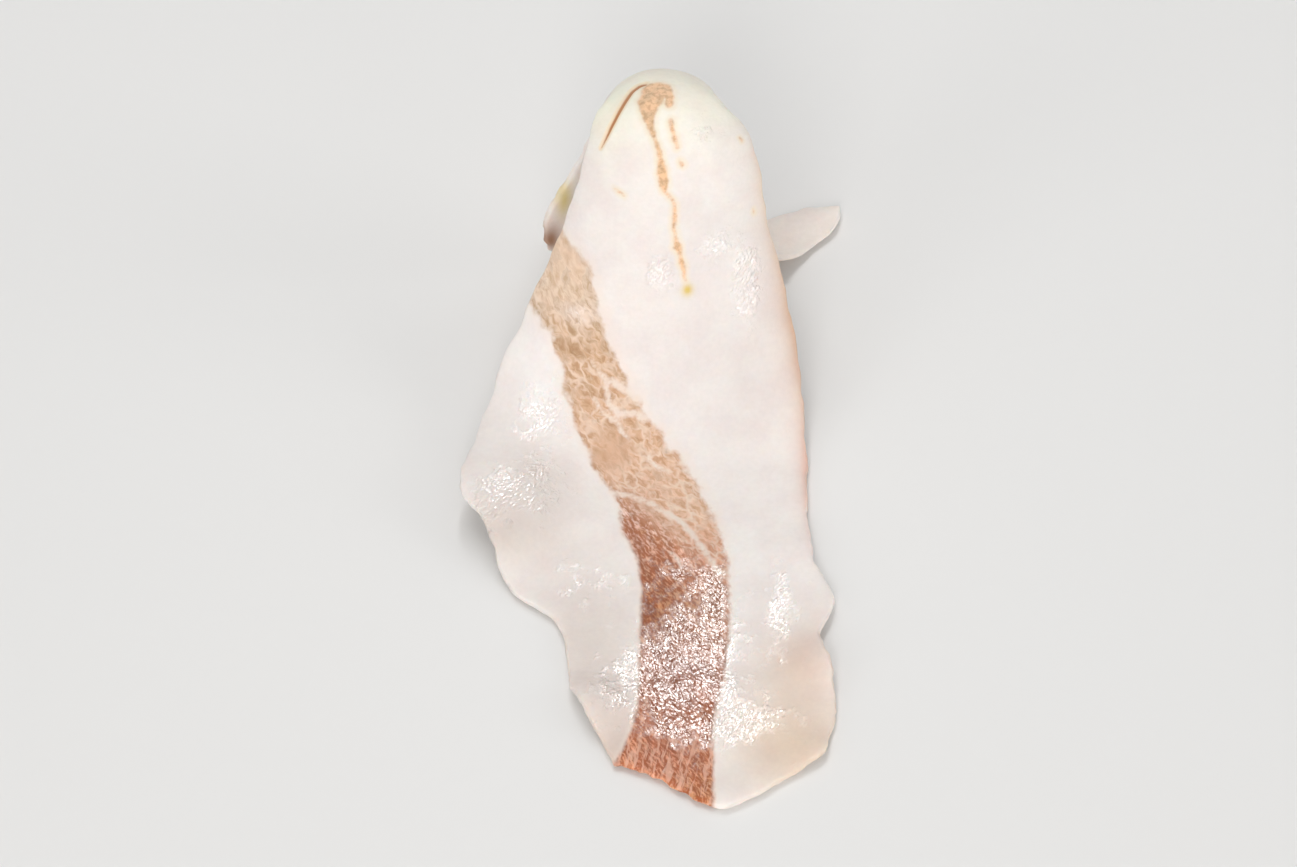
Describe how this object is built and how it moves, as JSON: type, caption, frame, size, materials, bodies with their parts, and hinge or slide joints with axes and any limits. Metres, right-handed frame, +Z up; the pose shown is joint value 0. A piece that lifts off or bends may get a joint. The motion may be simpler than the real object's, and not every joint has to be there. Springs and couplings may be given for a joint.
{
  "type": "guanciale slice",
  "caption": "Thin slice of cured pork jowl, white fat with one lean streak, lying with ruffled sides in front and a standing loop behind.",
  "frame": {"origin": "middle of the slice's footprint, on the surface that it lies on", "axes": "+Z up, -Y towards the front cut edge, +Y towards the loop and the foot behind it, +X to the right as seen from the front"},
  "size_m": [0.0582, 0.1132, 0.0457],
  "materials": {
    "fat": "satin, waxy and slightly translucent",
    "lean": "satin, fibrous and moist"
  },
  "bodies": {
    "root": {"fat_left": "fat", "lean_streak": "lean", "fat_right": "fat"}
  },
  "joints": []
}
